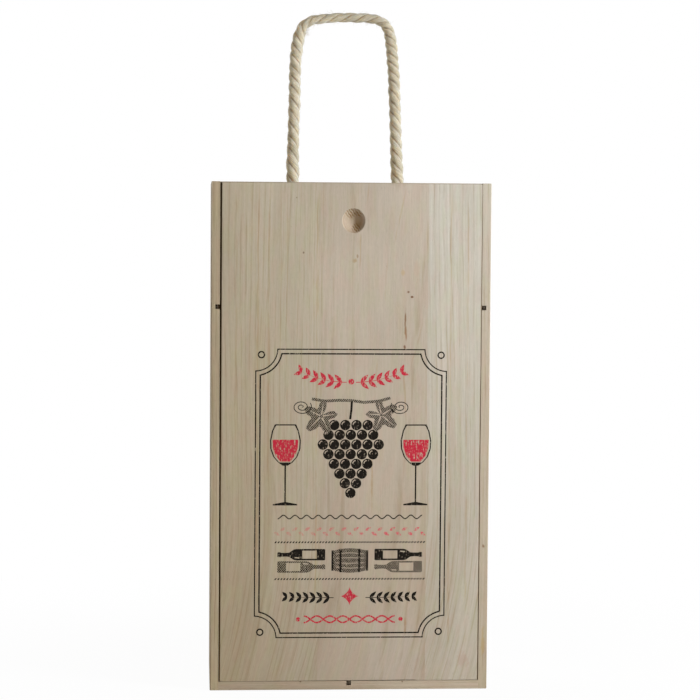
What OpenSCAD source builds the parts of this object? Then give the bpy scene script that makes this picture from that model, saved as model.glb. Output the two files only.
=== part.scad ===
// Wooden box for two wine bottles, with a sliding lid and a rope handle.
// Millimetres. The origin is the middle of the underside, +Z is up, and the lid faces -Y.
// The panels are butted and pinned. The lid runs in grooves ploughed in the sides and the
// bottom, and leaves upwards past the shorter top panel. Two thin plates stand in slots that
// are sawn right through the front edges: one parts the bottles, one holds their necks.
// The rope goes down through the top panel and ends in an overhand knot under each hole.

/* [Box] */
// Outer width
box_w = 192; // [170:1:240]
// Outer height, without the rope
box_h = 350; // [335:1:400]
// Outer depth, back panel included
box_d = 98; // [92:1:130]
// Thickness of the side, top and bottom panels
panel_t = 6; // [5:0.5:9]
// Thickness of the back panel
back_t = 4; // [3:0.5:6]
// Width of the eased outer edges
arris = 0.4; // [0.2:0.1:0.8]

/* [Lid] */
// Thickness of the lip in front of the lid's groove
lip_t = 3; // [2.5:0.5:5]
// Width of the groove, front to back
groove_w = 3; // [2.5:0.5:4]
// Depth of the groove into the panel
groove_depth = 3; // [2:0.5:3.5]
// Play of the lid's face between the two sides, both gaps together
lid_play = 1.4; // [0.8:0.1:2]
// Play of the lid's tongues at the bottoms of the side grooves, both together
tongue_play = 1; // [0.8:0.1:2]
// Play of a tongue across its groove, on each face
tongue_gap = 0.1; // [0.05:0.05:0.3]
// How far the lid stands off to the right of the middle
lid_shift = 0.35; // [0:0.05:0.35]
// Step from the top of the sides down to the top of the lid
lid_drop = 0.5; // [0:0.1:2]
// Gap between the lid's face and the bottom panel
lid_foot_gap = 0.3; // [0.1:0.05:0.6]
// Space between the lid's back and the front edge of the top panel
lid_pass_gap = 0.4; // [0.2:0.1:1]

/* [Thumb scoop] */
// Diameter of the scoop at the lid's face
scoop_dia = 16.4; // [12:0.2:22]
// Depth of the scoop
scoop_depth = 4.5; // [3:0.1:4.8]
// Distance of its centre below the lid's top edge
scoop_down = 25.7; // [18:0.1:40]
// Distance of its centre to the right of the lid's middle
scoop_aside = 0.9; // [-5:0.1:5]

/* [Plates inside] */
// Thickness of the two loose plates
plate_t = 2.8; // [2.5:0.1:4]
// Play of a plate across its slot, on each face
plate_gap = 0.1; // [0.05:0.05:0.3]
// Depth of the slots in the panels
slot_depth = 3; // [2:0.5:3.5]
// Height of the neck plate's middle
neck_plate_z = 264.5; // [240:0.5:285]
// Space left between a plate's front edge and the lid
plate_setback = 0.6; // [0.4:0.1:3]
// Space left between a plate's other edges and the wood
plate_end_gap = 0.3; // [0.2:0.1:1]
// Width of a notch for a bottle's neck
neck_notch_w = 32; // [30:1:40]

/* [Rope] */
// Diameter of the rope
rope_dia = 8; // [6:0.5:8.5]
// Play of the rope in its hole, all round
rope_play = 0.5; // [0.3:0.1:0.7]
// Distance between the two rope holes
hole_spacing = 73.6; // [72:0.2:76]
// Distance of the pair's middle to the right of the box's middle
holes_aside = -1.7; // [-3:0.1:3]
// Space between the rope's bend and the knotted end below it, and above a knot
rope_gap = 0.3; // [0.3:0.1:0.5]
// How far the knotted end stands out of its hole
stub_out = 0.2; // [0:0.1:0.5]

/* [Brads] */
// Diameter of a brad's shank
brad_dia = 1.2; // [1:0.1:1.6]
// Diameter of its head
brad_head_dia = 2.2; // [1.8:0.1:3]
// Thickness of its head
brad_head_t = 0.6; // [0.4:0.1:1]
// Length of a side brad
side_brad_len = 16; // [12:1:20]
// Length of a back brad
back_brad_len = 14; // [10:1:18]
// Play of a brad in its hole, all round
brad_gap = 0.05; // [0.03:0.01:0.08]
// Brads along each end of a side panel
side_brads_per_end = 3; // [2:1:4]
// Brads along each long edge of the back panel
back_brads_per_side = 5; // [3:1:7]
// Brads along each short edge of the back panel, for each bottle's bay
back_brads_per_bay = 1; // [1:1:2]
// Distance from a corner to the nearest brad, along the edge
brad_corner = 22; // [16:1:30]

/* [Hidden] */

// Overshoot of a cutting solid past the face that it cuts
cut = 1;
$fn = 48;

// Planes of the case
side_x = box_w / 2;
inner_x = side_x - panel_t;
front_y = -box_d / 2;
rear_y = box_d / 2;
panel_rear_y = rear_y - back_t;
panel_depth = panel_rear_y - front_y;
top_under_z = box_h - panel_t;

// Groove of the lid
groove_front_y = front_y + lip_t;
groove_rear_y = groove_front_y + groove_w;
groove_foot_z = panel_t - groove_depth;

// Lid
lid_face_w = 2 * inner_x - lid_play;
lid_tongue_w = 2 * (inner_x + groove_depth) - tongue_play;
tongue_front_y = groove_front_y + tongue_gap;
lid_back_y = groove_rear_y - tongue_gap;
lid_face_z = panel_t + lid_foot_gap;
lid_top_z = box_h - lid_drop;
scoop_r = (pow(scoop_dia / 2, 2) + pow(scoop_depth, 2)) / (2 * scoop_depth);

// Top panel, whose front edge lies behind the lid's path
top_front_y = lid_back_y + lid_pass_gap;

// Plates
slot_w = plate_t + 2 * plate_gap;
plate_front_y = groove_rear_y + plate_setback;
plate_rear_y = panel_rear_y - plate_end_gap;
plate_mid_y = (plate_front_y + plate_rear_y) / 2;
case_mid_y = (groove_rear_y + panel_rear_y) / 2;
divider_foot_z = panel_t - slot_depth;
divider_top_z = top_under_z + slot_depth - plate_end_gap;
neck_half_w = inner_x + slot_depth - plate_end_gap;
bay_mid_x = (inner_x + plate_t / 2) / 2;

// Brads
brad_r = brad_dia / 2;
brad_head_r = brad_head_dia / 2;
brad_in_panel = panel_t / 2;
side_brad_first_y = front_y + brad_corner;
side_brad_pitch = (panel_depth - 2 * brad_corner) / (side_brads_per_end - 1);
back_brad_pitch = (neck_plate_z - 2 * brad_corner) / (back_brads_per_side - 2);
back_brad_bay_pitch = inner_x / (back_brads_per_bay + 1);

// Rope
rope_r = rope_dia / 2;
left_hole_x = holes_aside - hole_spacing / 2;
right_hole_x = holes_aside + hole_spacing / 2;
hole_dia = rope_dia + 2 * rope_play;
stub_top_z = box_h + stub_out;
bend_z = stub_top_z + rope_gap + rope_r;
loop_sides = 12;
knot_sides = 8;
route_steps = 3;

// Route of the rope's loop from the left leg to the right one: to the right, back, and above the box
loop_route = [
    [-38.8, 0, 14], [-38.5, 0, 28], [-38.2, 0, 42], [-37.8, 0, 57], [-37.6, 0, 72], [-37.3, 0, 84],
    [-36.3, 0, 94], [-34.8, 0, 102.5], [-32.2, 0, 109.6], [-26.4, 0, 113.9], [-17.5, 0, 115.4],
    [-6.3, 0, 116.4], [4.7, 0, 116.4], [13.7, 0, 116.2], [20.8, 0, 114.9], [26, 0, 111.5], [28.7, 0, 106],
    [30.1, 0, 98.5], [31.1, 0, 88], [32.1, 0, 76], [32.7, 0, 62], [33.4, 0, 46], [33.9, 0, 31],
    [34.6, 0, 15]
];

// Upper half of an overhand knot in a rope 8 mm thick, from the middle of its turn to the hole.
// The lower half is the same line turned over about X.
knot_rope_dia = 8;
knot_half = [
    [7, 0, 0], [5.5, 8, -3.5], [-1, 11, -7.5], [-8, 7.5, -9], [-10, -0.5, -7],
    [-6, -5, -1], [-1.5, -2.5, 5], [0, -0.5, 11.5]
];
knot_tail = [[1.5, 2, -23], [0, 0, -16.5]];
knot_turn_top = 9;
knot_scale = rope_dia / knot_rope_dia;
knot_z = top_under_z - rope_gap - rope_r - knot_turn_top * knot_scale;
knot_route = concat(
    knot_tail,
    [for (k = [len(knot_half) - 1 : -1 : 1]) [knot_half[k].x, -knot_half[k].y, -knot_half[k].z]],
    knot_half
);

// A unit vector along v
function unit(v) = v / norm(v);

// A point of the smooth line through p, at share f of the stretch that starts at point i
function on_route(p, i, f) =
    let (
        a = p[max(i - 1, 0)],
        b = p[i],
        c = p[i + 1],
        d = p[min(i + 2, len(p) - 1)]
    )
    (2 * b + (c - a) * f + (2 * a - 5 * b + 4 * c - d) * f * f
        + (3 * b - 3 * c + d - a) * f * f * f) / 2;

// The smooth line through p, with the given steps for each stretch
function smooth_route(p, steps) = concat(
    [for (i = [0 : len(p) - 2]) for (k = [0 : steps - 1]) on_route(p, i, k / steps)],
    [p[len(p) - 1]]
);

// The direction of the line p at each of its points
function directions(p) =
    [for (i = [0 : len(p) - 1]) unit(p[min(i + 1, len(p) - 1)] - p[max(i - 1, 0)])];

// A vector square to the line at each of its points, carried along without twist
function carried(t, v, i = 0) =
    i == len(t) ? [] :
    let (n = unit(v - (v * t[i]) * t[i]))
    concat([n], carried(t, n, i + 1));

// A tube along the line p, with radius radii[i] at point i and the given number of sides
module tube(p, radii, sides, across) {
    t = directions(p);
    n = carried(t, across);
    last = len(p) - 1;
    far = last * sides;
    points = [
        for (i = [0 : last]) for (j = [0 : sides - 1])
            let (a = 360 * j / sides)
            p[i] + radii[i] * (cos(a) * n[i] + sin(a) * cross(t[i], n[i]))
    ];
    walls = [
        for (i = [0 : last - 1]) for (j = [0 : sides - 1]) for (half = [0, 1])
            let (k = (j + 1) % sides, low = i * sides, high = low + sides)
            half == 0 ? [low + j, high + j, high + k] : [low + j, high + k, low + k]
    ];
    start = [for (j = [1 : sides - 2]) [0, j, j + 1]];
    finish = [for (j = [1 : sides - 2]) [far, far + j + 1, far + j]];
    polyhedron(points, concat(walls, start, finish));
}

// A rod that cuts an eased edge of the given length along Z
module edge_cutter(length) {
    side = arris * sqrt(2);
    rotate([0, 0, 45])
        cube([side, side, length + 2 * cut], center = true);
}

// A brad with its head's outer face at the origin and its point along +Z
module brad(length) {
    cylinder(r = brad_head_r, h = brad_head_t);
    cylinder(r = brad_r, h = length - brad_dia);
    translate([0, 0, length - brad_dia])
        cylinder(r1 = brad_r, r2 = brad_r / 4, h = brad_dia);
}

// The hole that a brad sits in
module brad_hole(length) {
    translate([0, 0, -cut])
        cylinder(r = brad_head_r + brad_gap, h = brad_head_t + brad_gap + cut);
    cylinder(r = brad_r + brad_gap, h = length + brad_gap);
}

// Puts a side brad's or its hole's solid at every place of one side: -1 left, 1 right
module at_side_brads(side) {
    for (z = [brad_in_panel, box_h - brad_in_panel])
        for (k = [0 : side_brads_per_end - 1])
            translate([side * side_x, side_brad_first_y + k * side_brad_pitch, z])
                rotate([0, -90 * side, 0])
                    children();
}

// Puts a back brad's or its hole's solid at every place round the back panel
module at_back_brads() {
    heights = concat(
        [for (k = [0 : back_brads_per_side - 2]) brad_corner + k * back_brad_pitch],
        [box_h - brad_corner]
    );
    for (side = [-1, 1]) {
        for (z = heights)
            translate([side * (side_x - brad_in_panel), rear_y, z])
                rotate([90, 0, 0])
                    children();
        for (z = [brad_in_panel, box_h - brad_in_panel])
            for (k = [1 : back_brads_per_bay])
                translate([side * k * back_brad_bay_pitch, rear_y, z])
                    rotate([90, 0, 0])
                        children();
    }
}

// Section of the left side panel: the groove's lip in front, the outer front edge eased
module side_section() {
    polygon([
        [-side_x + arris, front_y],
        [-inner_x, front_y],
        [-inner_x, groove_front_y],
        [-inner_x - groove_depth, groove_front_y],
        [-inner_x - groove_depth, groove_rear_y],
        [-inner_x, groove_rear_y],
        [-inner_x, panel_rear_y],
        [-side_x, panel_rear_y],
        [-side_x, front_y + arris]
    ]);
}

// The left side panel before its brad holes: the neck plate's slot runs out through the front
module side_blank() {
    difference() {
        linear_extrude(height = box_h)
            side_section();
        translate([-inner_x - slot_depth, front_y - cut, neck_plate_z - slot_w / 2])
            cube([slot_depth + cut, panel_depth + 2 * cut, slot_w]);
        for (z = [0, box_h])
            translate([-side_x, (front_y + panel_rear_y) / 2, z])
                rotate([90, 0, 0])
                    edge_cutter(panel_depth);
    }
}

module left_side_panel() {
    color("#b5a684")
        difference() {
            side_blank();
            at_side_brads(-1)
                brad_hole(side_brad_len);
            at_back_brads()
                brad_hole(back_brad_len);
        }
}

module right_side_panel() {
    color("#cfc2a4")
        difference() {
            mirror([1, 0, 0])
                side_blank();
            at_side_brads(1)
                brad_hole(side_brad_len);
            at_back_brads()
                brad_hole(back_brad_len);
        }
}

// Full depth, with the groove for the lid's foot and the slot for the divider
module bottom_end_panel() {
    color("#bcae8e")
        difference() {
            translate([-inner_x, front_y, 0])
                cube([2 * inner_x, panel_depth, panel_t]);
            translate([-inner_x - cut, groove_front_y, groove_foot_z])
                cube([2 * (inner_x + cut), groove_w, groove_depth + cut]);
            translate([-slot_w / 2, front_y - cut, divider_foot_z])
                cube([slot_w, panel_depth + 2 * cut, slot_depth + cut]);
            at_side_brads(-1)
                brad_hole(side_brad_len);
            at_side_brads(1)
                brad_hole(side_brad_len);
            at_back_brads()
                brad_hole(back_brad_len);
        }
}

// Shorter front to back than the bottom, so that the lid can pass, with the rope's two holes
module top_end_panel() {
    color("#c3b594")
        difference() {
            translate([-inner_x, top_front_y, top_under_z])
                cube([2 * inner_x, panel_rear_y - top_front_y, panel_t]);
            translate([-slot_w / 2, top_front_y - cut, top_under_z - cut])
                cube([slot_w, panel_rear_y - top_front_y + 2 * cut, slot_depth + cut]);
            for (x = [left_hole_x, right_hole_x])
                translate([x, 0, top_under_z - cut])
                    cylinder(d = hole_dia, h = panel_t + 2 * cut);
            at_side_brads(-1)
                brad_hole(side_brad_len);
            at_side_brads(1)
                brad_hole(side_brad_len);
            at_back_brads()
                brad_hole(back_brad_len);
        }
}

module back_panel() {
    color("#c9bb9a")
        difference() {
            translate([-side_x, panel_rear_y, 0])
                cube([box_w, back_t, box_h]);
            for (x = [-side_x, side_x])
                translate([x, rear_y, box_h / 2])
                    edge_cutter(box_h);
            for (z = [0, box_h])
                translate([0, rear_y, z])
                    rotate([0, 90, 0])
                        edge_cutter(box_w);
            at_back_brads()
                brad_hole(back_brad_len);
        }
}

// Stands between the bottles. Its front half is slotted where the neck plate crosses it.
module bottle_divider() {
    color("#d2c5a6")
        difference() {
            translate([-plate_t / 2, plate_front_y, divider_foot_z])
                cube([plate_t, plate_rear_y - plate_front_y, divider_top_z - divider_foot_z]);
            translate([-plate_t, plate_front_y - cut, neck_plate_z - slot_w / 2])
                cube([2 * plate_t, plate_mid_y - plate_front_y + cut, slot_w]);
        }
}

// Lies across both bays. Each notch takes a neck from the front, and the rear half is slotted.
module neck_rest() {
    color("#d2c5a6")
        difference() {
            translate([-neck_half_w, plate_front_y, neck_plate_z - plate_t / 2])
                cube([2 * neck_half_w, plate_rear_y - plate_front_y, plate_t]);
            for (x = [-bay_mid_x, bay_mid_x])
                translate([x, case_mid_y, neck_plate_z - plate_t]) {
                    cylinder(d = neck_notch_w, h = 2 * plate_t);
                    translate([-neck_notch_w / 2, plate_front_y - cut - case_mid_y, 0])
                        cube([neck_notch_w, case_mid_y - plate_front_y + cut, 2 * plate_t]);
                }
            translate([-slot_w / 2, plate_mid_y, neck_plate_z - plate_t])
                cube([slot_w, plate_rear_y - plate_mid_y + cut, 2 * plate_t]);
        }
}

// Section of the lid: a face that fills the opening, and a tongue along each side behind it
module lid_section() {
    face_left = lid_shift - lid_face_w / 2;
    face_right = lid_shift + lid_face_w / 2;
    tongue_left = lid_shift - lid_tongue_w / 2;
    tongue_right = lid_shift + lid_tongue_w / 2;
    polygon([
        [face_left + arris, front_y],
        [face_right - arris, front_y],
        [face_right, front_y + arris],
        [face_right, tongue_front_y],
        [tongue_right, tongue_front_y],
        [tongue_right, lid_back_y],
        [tongue_left, lid_back_y],
        [tongue_left, tongue_front_y],
        [face_left, tongue_front_y],
        [face_left, front_y + arris]
    ]);
}

// Rests with its foot in the bottom groove. The thumb scoop is a round hollow near the top.
module sliding_lid() {
    color("#c8baa0")
        difference() {
            translate([0, 0, groove_foot_z])
                linear_extrude(height = lid_top_z - groove_foot_z)
                    lid_section();
            translate([-box_w / 2, front_y - cut, groove_foot_z - cut])
                cube([box_w, tongue_front_y - front_y + cut, lid_face_z - groove_foot_z + cut]);
            for (y = [front_y, lid_back_y])
                translate([0, y, lid_top_z])
                    rotate([0, 90, 0])
                        edge_cutter(box_w);
            translate([
                lid_shift + scoop_aside,
                front_y + scoop_depth - scoop_r,
                lid_top_z - scoop_down
            ])
                sphere(r = scoop_r, $fn = 96);
        }
}

module left_side_brads() {
    color("#8c8a86")
        at_side_brads(-1)
            brad(side_brad_len);
}

module right_side_brads() {
    color("#8c8a86")
        at_side_brads(1)
            brad(side_brad_len);
}

module back_brads() {
    color("#8c8a86")
        at_back_brads()
            brad(back_brad_len);
}

// An overhand knot with its tail, and the stretch of rope that fills the hole above it
module rope_knot() {
    line = smooth_route(
        concat(
            [for (q = knot_route) [0, 0, knot_z] + knot_scale * q],
            [[0, 0, top_under_z], [0, 0, stub_top_z]]
        ),
        route_steps
    );
    tube(line, [for (q = line) rope_r], knot_sides, [1, 0, 0]);
}

module left_rope_knot() {
    color("#cdbf9f")
        translate([left_hole_x, 0, 0])
            rope_knot();
}

module right_rope_knot() {
    color("#cdbf9f")
        translate([right_hole_x, 0, 0])
            rotate([0, 0, 180])
                rope_knot();
}

// The loop above the box. Each leg ends in a half ball round the line that it bends about.
module rope_handle() {
    line = smooth_route(
        concat(
            [[left_hole_x, 0, bend_z]],
            [for (q = loop_route) [q.x, q.y, box_h + q.z]],
            [[right_hole_x, 0, bend_z]]
        ),
        route_steps
    );
    ball = [for (a = [10 : 20 : 70]) a];
    left_ball = [for (a = ball) [left_hole_x, 0, bend_z - rope_r * cos(a)]];
    right_ball = [
        for (k = [len(ball) - 1 : -1 : 0]) [right_hole_x, 0, bend_z - rope_r * cos(ball[k])]
    ];
    color("#cdbf9f")
        tube(
            concat(left_ball, line, right_ball),
            concat(
                [for (a = ball) rope_r * sin(a)],
                [for (q = line) rope_r],
                [for (k = [len(ball) - 1 : -1 : 0]) rope_r * sin(ball[k])]
            ),
            loop_sides,
            [0, 1, 0]
        );
}

left_side_panel();
right_side_panel();
bottom_end_panel();
top_end_panel();
back_panel();
bottle_divider();
neck_rest();
sliding_lid();
left_side_brads();
right_side_brads();
back_brads();
left_rope_knot();
right_rope_knot();
rope_handle();
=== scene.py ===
import math
import random

import bmesh
import bpy
import numpy as np
from mathutils import Matrix, Vector
from mathutils.geometry import delaunay_2d_cdt


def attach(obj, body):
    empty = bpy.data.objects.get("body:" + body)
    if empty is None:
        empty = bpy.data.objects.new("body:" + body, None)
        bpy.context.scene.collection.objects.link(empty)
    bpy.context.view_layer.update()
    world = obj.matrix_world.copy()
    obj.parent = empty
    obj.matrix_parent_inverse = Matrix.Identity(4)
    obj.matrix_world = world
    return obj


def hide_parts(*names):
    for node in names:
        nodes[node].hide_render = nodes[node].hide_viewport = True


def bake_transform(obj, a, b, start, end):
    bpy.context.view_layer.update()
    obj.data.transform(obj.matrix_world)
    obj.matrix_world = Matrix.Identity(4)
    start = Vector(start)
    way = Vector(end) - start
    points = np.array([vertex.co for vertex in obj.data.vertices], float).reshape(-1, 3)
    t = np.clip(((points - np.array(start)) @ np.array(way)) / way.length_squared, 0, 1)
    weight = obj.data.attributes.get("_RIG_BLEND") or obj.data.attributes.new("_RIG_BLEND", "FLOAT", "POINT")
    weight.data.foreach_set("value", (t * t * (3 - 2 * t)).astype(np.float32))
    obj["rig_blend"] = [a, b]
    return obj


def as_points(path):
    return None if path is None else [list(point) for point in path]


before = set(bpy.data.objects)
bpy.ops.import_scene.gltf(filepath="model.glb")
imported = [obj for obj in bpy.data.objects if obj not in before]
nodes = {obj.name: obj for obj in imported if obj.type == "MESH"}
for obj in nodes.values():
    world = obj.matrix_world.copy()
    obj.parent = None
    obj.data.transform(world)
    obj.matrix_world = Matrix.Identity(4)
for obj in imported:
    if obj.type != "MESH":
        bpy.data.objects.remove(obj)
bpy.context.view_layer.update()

MM = 0.001


def show(name, data):
    """A new object with that data, put in the scene."""
    thing = bpy.data.objects.new(name, data)
    bpy.context.scene.collection.objects.link(thing)
    return thing


# Camera

IMAGE_PX = 700
CAMERA_AT = (-0.10446, -1.56972, 0.31682)
CAMERA_YAW, CAMERA_PITCH, CAMERA_ROLL = 3.90278, -3.065, 0.40963
FOCAL_PX = 2224.16
SENSOR = 36.0
CLIP_END = 50


def place_camera():
    yaw, pitch, roll = (math.radians(a) for a in (CAMERA_YAW, CAMERA_PITCH, CAMERA_ROLL))
    ahead = Vector((math.sin(yaw) * math.cos(pitch), math.cos(yaw) * math.cos(pitch), math.sin(pitch)))
    level = Vector((math.cos(yaw), -math.sin(yaw), 0))
    up = level.cross(ahead)
    right = math.cos(roll) * level + math.sin(roll) * up
    top = math.cos(roll) * up - math.sin(roll) * level
    data = bpy.data.cameras.new("camera")
    data.sensor_width = SENSOR
    data.lens = FOCAL_PX * SENSOR / IMAGE_PX
    data.clip_end = CLIP_END
    camera = show("camera", data)
    turn = Matrix((right, top, -ahead)).transposed().to_4x4()
    camera.matrix_world = Matrix.Translation(CAMERA_AT) @ turn
    bpy.context.scene.camera = camera


place_camera()


# Node trees

def linear(*rgb):
    """A colour given in 0 to 255, as Blender's shaders take it."""
    shares = [v / 255 for v in rgb]
    return tuple(c / 12.92 if c <= 0.04045 else ((c + 0.055) / 1.055) ** 2.4 for c in shares) + (1.0,)


class Tree:
    """The nodes of a material or a world, with a short call for each kind."""

    def __init__(self, name, collection=bpy.data.materials):
        self.owner = collection.new(name)
        self.owner.use_nodes = True
        self.tree = self.owner.node_tree
        self.tree.nodes.clear()

    def put(self, socket, value):
        if isinstance(value, bpy.types.NodeSocket):
            self.tree.links.new(value, socket)
        else:
            socket.default_value = value

    def add(self, kind, inputs=None, **settings):
        node = self.tree.nodes.new("ShaderNode" + kind)
        for key, value in settings.items():
            setattr(node, key, value)
        for key, value in (inputs or {}).items():
            self.put(node.inputs[key], value)
        return node

    def math(self, operation, *values, clamp=False):
        return self.add("Math", dict(enumerate(values)), operation=operation, use_clamp=clamp).outputs[0]

    def chain(self, operation, values):
        total = values[0]
        for value in values[1:]:
            total = self.math(operation, total, value)
        return total

    def sum(self, *values):
        return self.chain("ADD", values)

    def times(self, *values):
        return self.chain("MULTIPLY", values)

    def larger(self, *values):
        return self.chain("MAXIMUM", values)

    def minus(self, value, less):
        return self.math("SUBTRACT", value, less)

    def ramp(self, value, slope, start):
        """value times slope, plus start."""
        return self.math("MULTIPLY_ADD", value, slope, start)

    def abs(self, value):
        return self.math("ABSOLUTE", value)

    def root(self, value):
        return self.math("SQRT", value)

    def fract(self, value):
        return self.math("FRACT", value)

    def between(self, value, low, high, to_low=0.0, to_high=1.0):
        """value eased from low..high to to_low..to_high."""
        limits = {0: value, 1: low, 2: high, 3: to_low, 4: to_high}
        return self.add("MapRange", limits, interpolation_type="SMOOTHSTEP").outputs[0]

    def point(self, x, y, z):
        return self.add("CombineXYZ", {0: x, 1: y, 2: z}).outputs[0]

    def noise(self, vector, detail=2, roughness=0.5, scale=1.0):
        inputs = {"Scale": scale, "Detail": detail, "Roughness": roughness, "Vector": vector}
        return self.add("TexNoise", inputs).outputs[0]

    def mix(self, share, low, high, blend="MIX"):
        node = self.add("Mix", data_type="RGBA", blend_type=blend, clamp_factor=True)
        for index, value in ((0, share), (6, low), (7, high)):
            self.put(node.inputs[index], value)
        return node.outputs[2]

    def shade(self, colour, amount):
        """colour times a grey amount."""
        return self.add("VectorMath", {0: colour, "Scale": amount}, operation="SCALE").outputs[0]

    def bump(self, height, depth_mm, normal=None):
        inputs = {"Height": height, "Strength": 1.0, "Distance": depth_mm * MM}
        if normal is not None:
            inputs["Normal"] = normal
        return self.add("Bump", inputs).outputs[0]

    def multiply(self, colour, tint):
        """colour times a constant tint of three numbers."""
        return self.mix(1.0, colour, tuple(tint) + (1.0,), "MULTIPLY")

    def finish(self, shader, output="OutputMaterial"):
        self.add(output, {"Surface": shader})
        return self.owner

    def principled(self, inputs):
        return self.finish(self.add("BsdfPrincipled", inputs).outputs[0])


def place(tree):
    """The point on the piece in millimetres, as three sockets. It goes with the piece."""
    here = tree.add("TexCoord").outputs["Object"]
    scaled = tree.add("VectorMath", {0: here, "Scale": 1 / MM}, operation="SCALE").outputs[0]
    return tree.add("SeparateXYZ", {0: scaled}).outputs


def stepped(tree, value, edges, levels):
    """levels[0] below the first edge, levels[1] up to the next, and so on."""
    total = levels[0]
    for edge, low, high in zip(edges, levels, levels[1:]):
        if high != low:
            total = tree.ramp(tree.math("GREATER_THAN", value, edge), high - low, total)
    return total


# Wood

EVEN = (1.0, 1.0, 1.0)
UNLIMITED = 1e6
WOOD_SHINE, PLATE_SHINE, SIDES_SHINE, INK_SHINE = 0.28, 0.05, 0.03, 0.05
END_DARK = 0.80
# Far enough apart that no two boards share a pattern
SEED_ALONG, SEED_ACROSS = 731.0, 17.3


class Board:
    """How one board was cut. Its grain runs along `along`, its width along `across`.

    light, dark: the colours of early and late wood
    strips: (edge where the strip ends, pith across, pith through, drift of the pith, contrast, tint)
    lines:  (across at mid height, half width, low end, high end, strength, lean), brown lines in the grain
    marks:  (centre, half sizes, colour, strength), knots and flecks
    ring:   the pitch of the year rings
    fade:   (((axis, from, to), ...), tint), a slow change of colour over the board
    plies:  the middle plane of a plywood plate
    painted_shade: (centre, half sizes, tint), a box whose faces get painted shade, in the gaps, grooves and
    slots
    flare:  (height, rate), below that height the grain leans aside, ever more
    """

    def __init__(self, along, across, seed, light=(194, 183, 164), dark=(165, 148, 122),
                 strips=((UNLIMITED, -160, 30, 0.02, 1.0, EVEN),), lines=(), marks=(),
                 ring=3.1, fade=(), plies=None, painted_shade=(), flare=None):
        self.along, self.across, self.seed = along, across, seed
        self.through = ({"X", "Y", "Z"} - {along, across}).pop()
        self.light, self.dark, self.ring = light, dark, ring
        self.strips, self.lines, self.marks = strips, lines, marks
        self.fade, self.plies, self.painted_shade, self.flare = fade, plies, painted_shade, flare


def tinted(tree, share, colour, tint):
    """colour, turned by share towards itself times the tint."""
    return tree.mix(share, colour, tree.multiply(colour, tint))


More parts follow.
